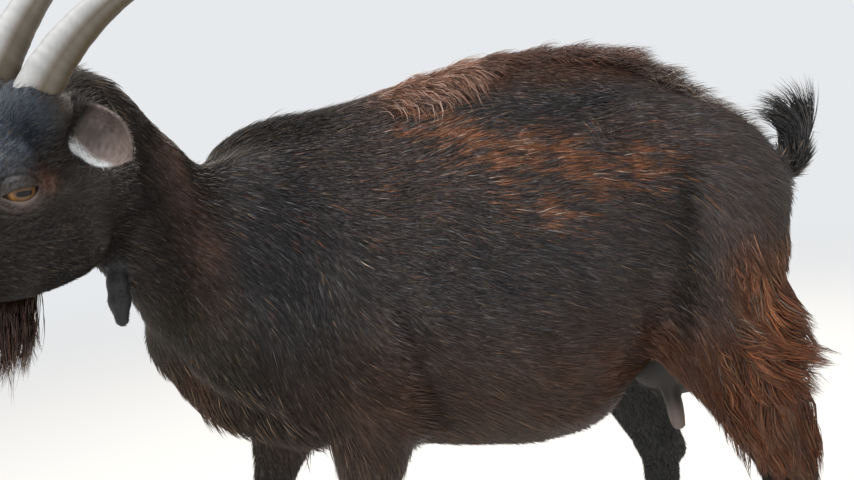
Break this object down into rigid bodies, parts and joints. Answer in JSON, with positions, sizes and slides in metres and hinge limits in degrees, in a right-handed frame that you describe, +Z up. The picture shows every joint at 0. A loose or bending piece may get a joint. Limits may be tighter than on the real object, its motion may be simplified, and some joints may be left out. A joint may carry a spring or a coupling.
{
  "type": "goat",
  "caption": "Standing horned and bearded goat doe as a still life-size model, head turned to its left, dark coat with rusty thighs and crest.",
  "frame": {"origin": "on the floor, under the middle of the whole model's box", "axes": "+X towards the tail, so the goat faces -X; +Y towards the goat's right, so its left side faces -Y; +Z up"},
  "size_m": [0.8452, 0.5162, 0.7729],
  "materials": {
    "coat": "short glossy dark brown-black hair over skin",
    "coat_rusty": "long rusty brown hair",
    "horn": "grey cream horn, brown at the base, faint rings",
    "hoof": "dull dark hoof horn",
    "eye": "wet amber eye with a level dark pupil",
    "bare_skin": "thinly haired grey pink skin"
  },
  "bodies": {
    "root": {"head": "coat", "neck": "coat", "trunk": "coat", "foreleg_upper_left": "coat", "foreleg_lower_left": "coat", "fore_claw_inner_left": "hoof", "fore_claw_outer_left": "hoof", "hindleg_upper_left": "coat_rusty", "hindleg_lower_left": "coat", "hind_claw_inner_left": "hoof", "hind_claw_outer_left": "hoof", "foreleg_upper_right": "coat", "foreleg_lower_right": "coat", "fore_claw_inner_right": "hoof", "fore_claw_outer_right": "hoof", "hindleg_upper_right": "coat_rusty", "hindleg_lower_right": "coat", "hind_claw_inner_right": "hoof", "hind_claw_outer_right": "hoof", "horn_left": "horn", "eye_left": "eye", "ear_left": "coat", "horn_right": "horn", "eye_right": "eye", "ear_right": "coat", "tail": "coat", "udder": "bare_skin", "wattle": "bare_skin", "beard": "coat_rusty"}
  },
  "joints": []
}
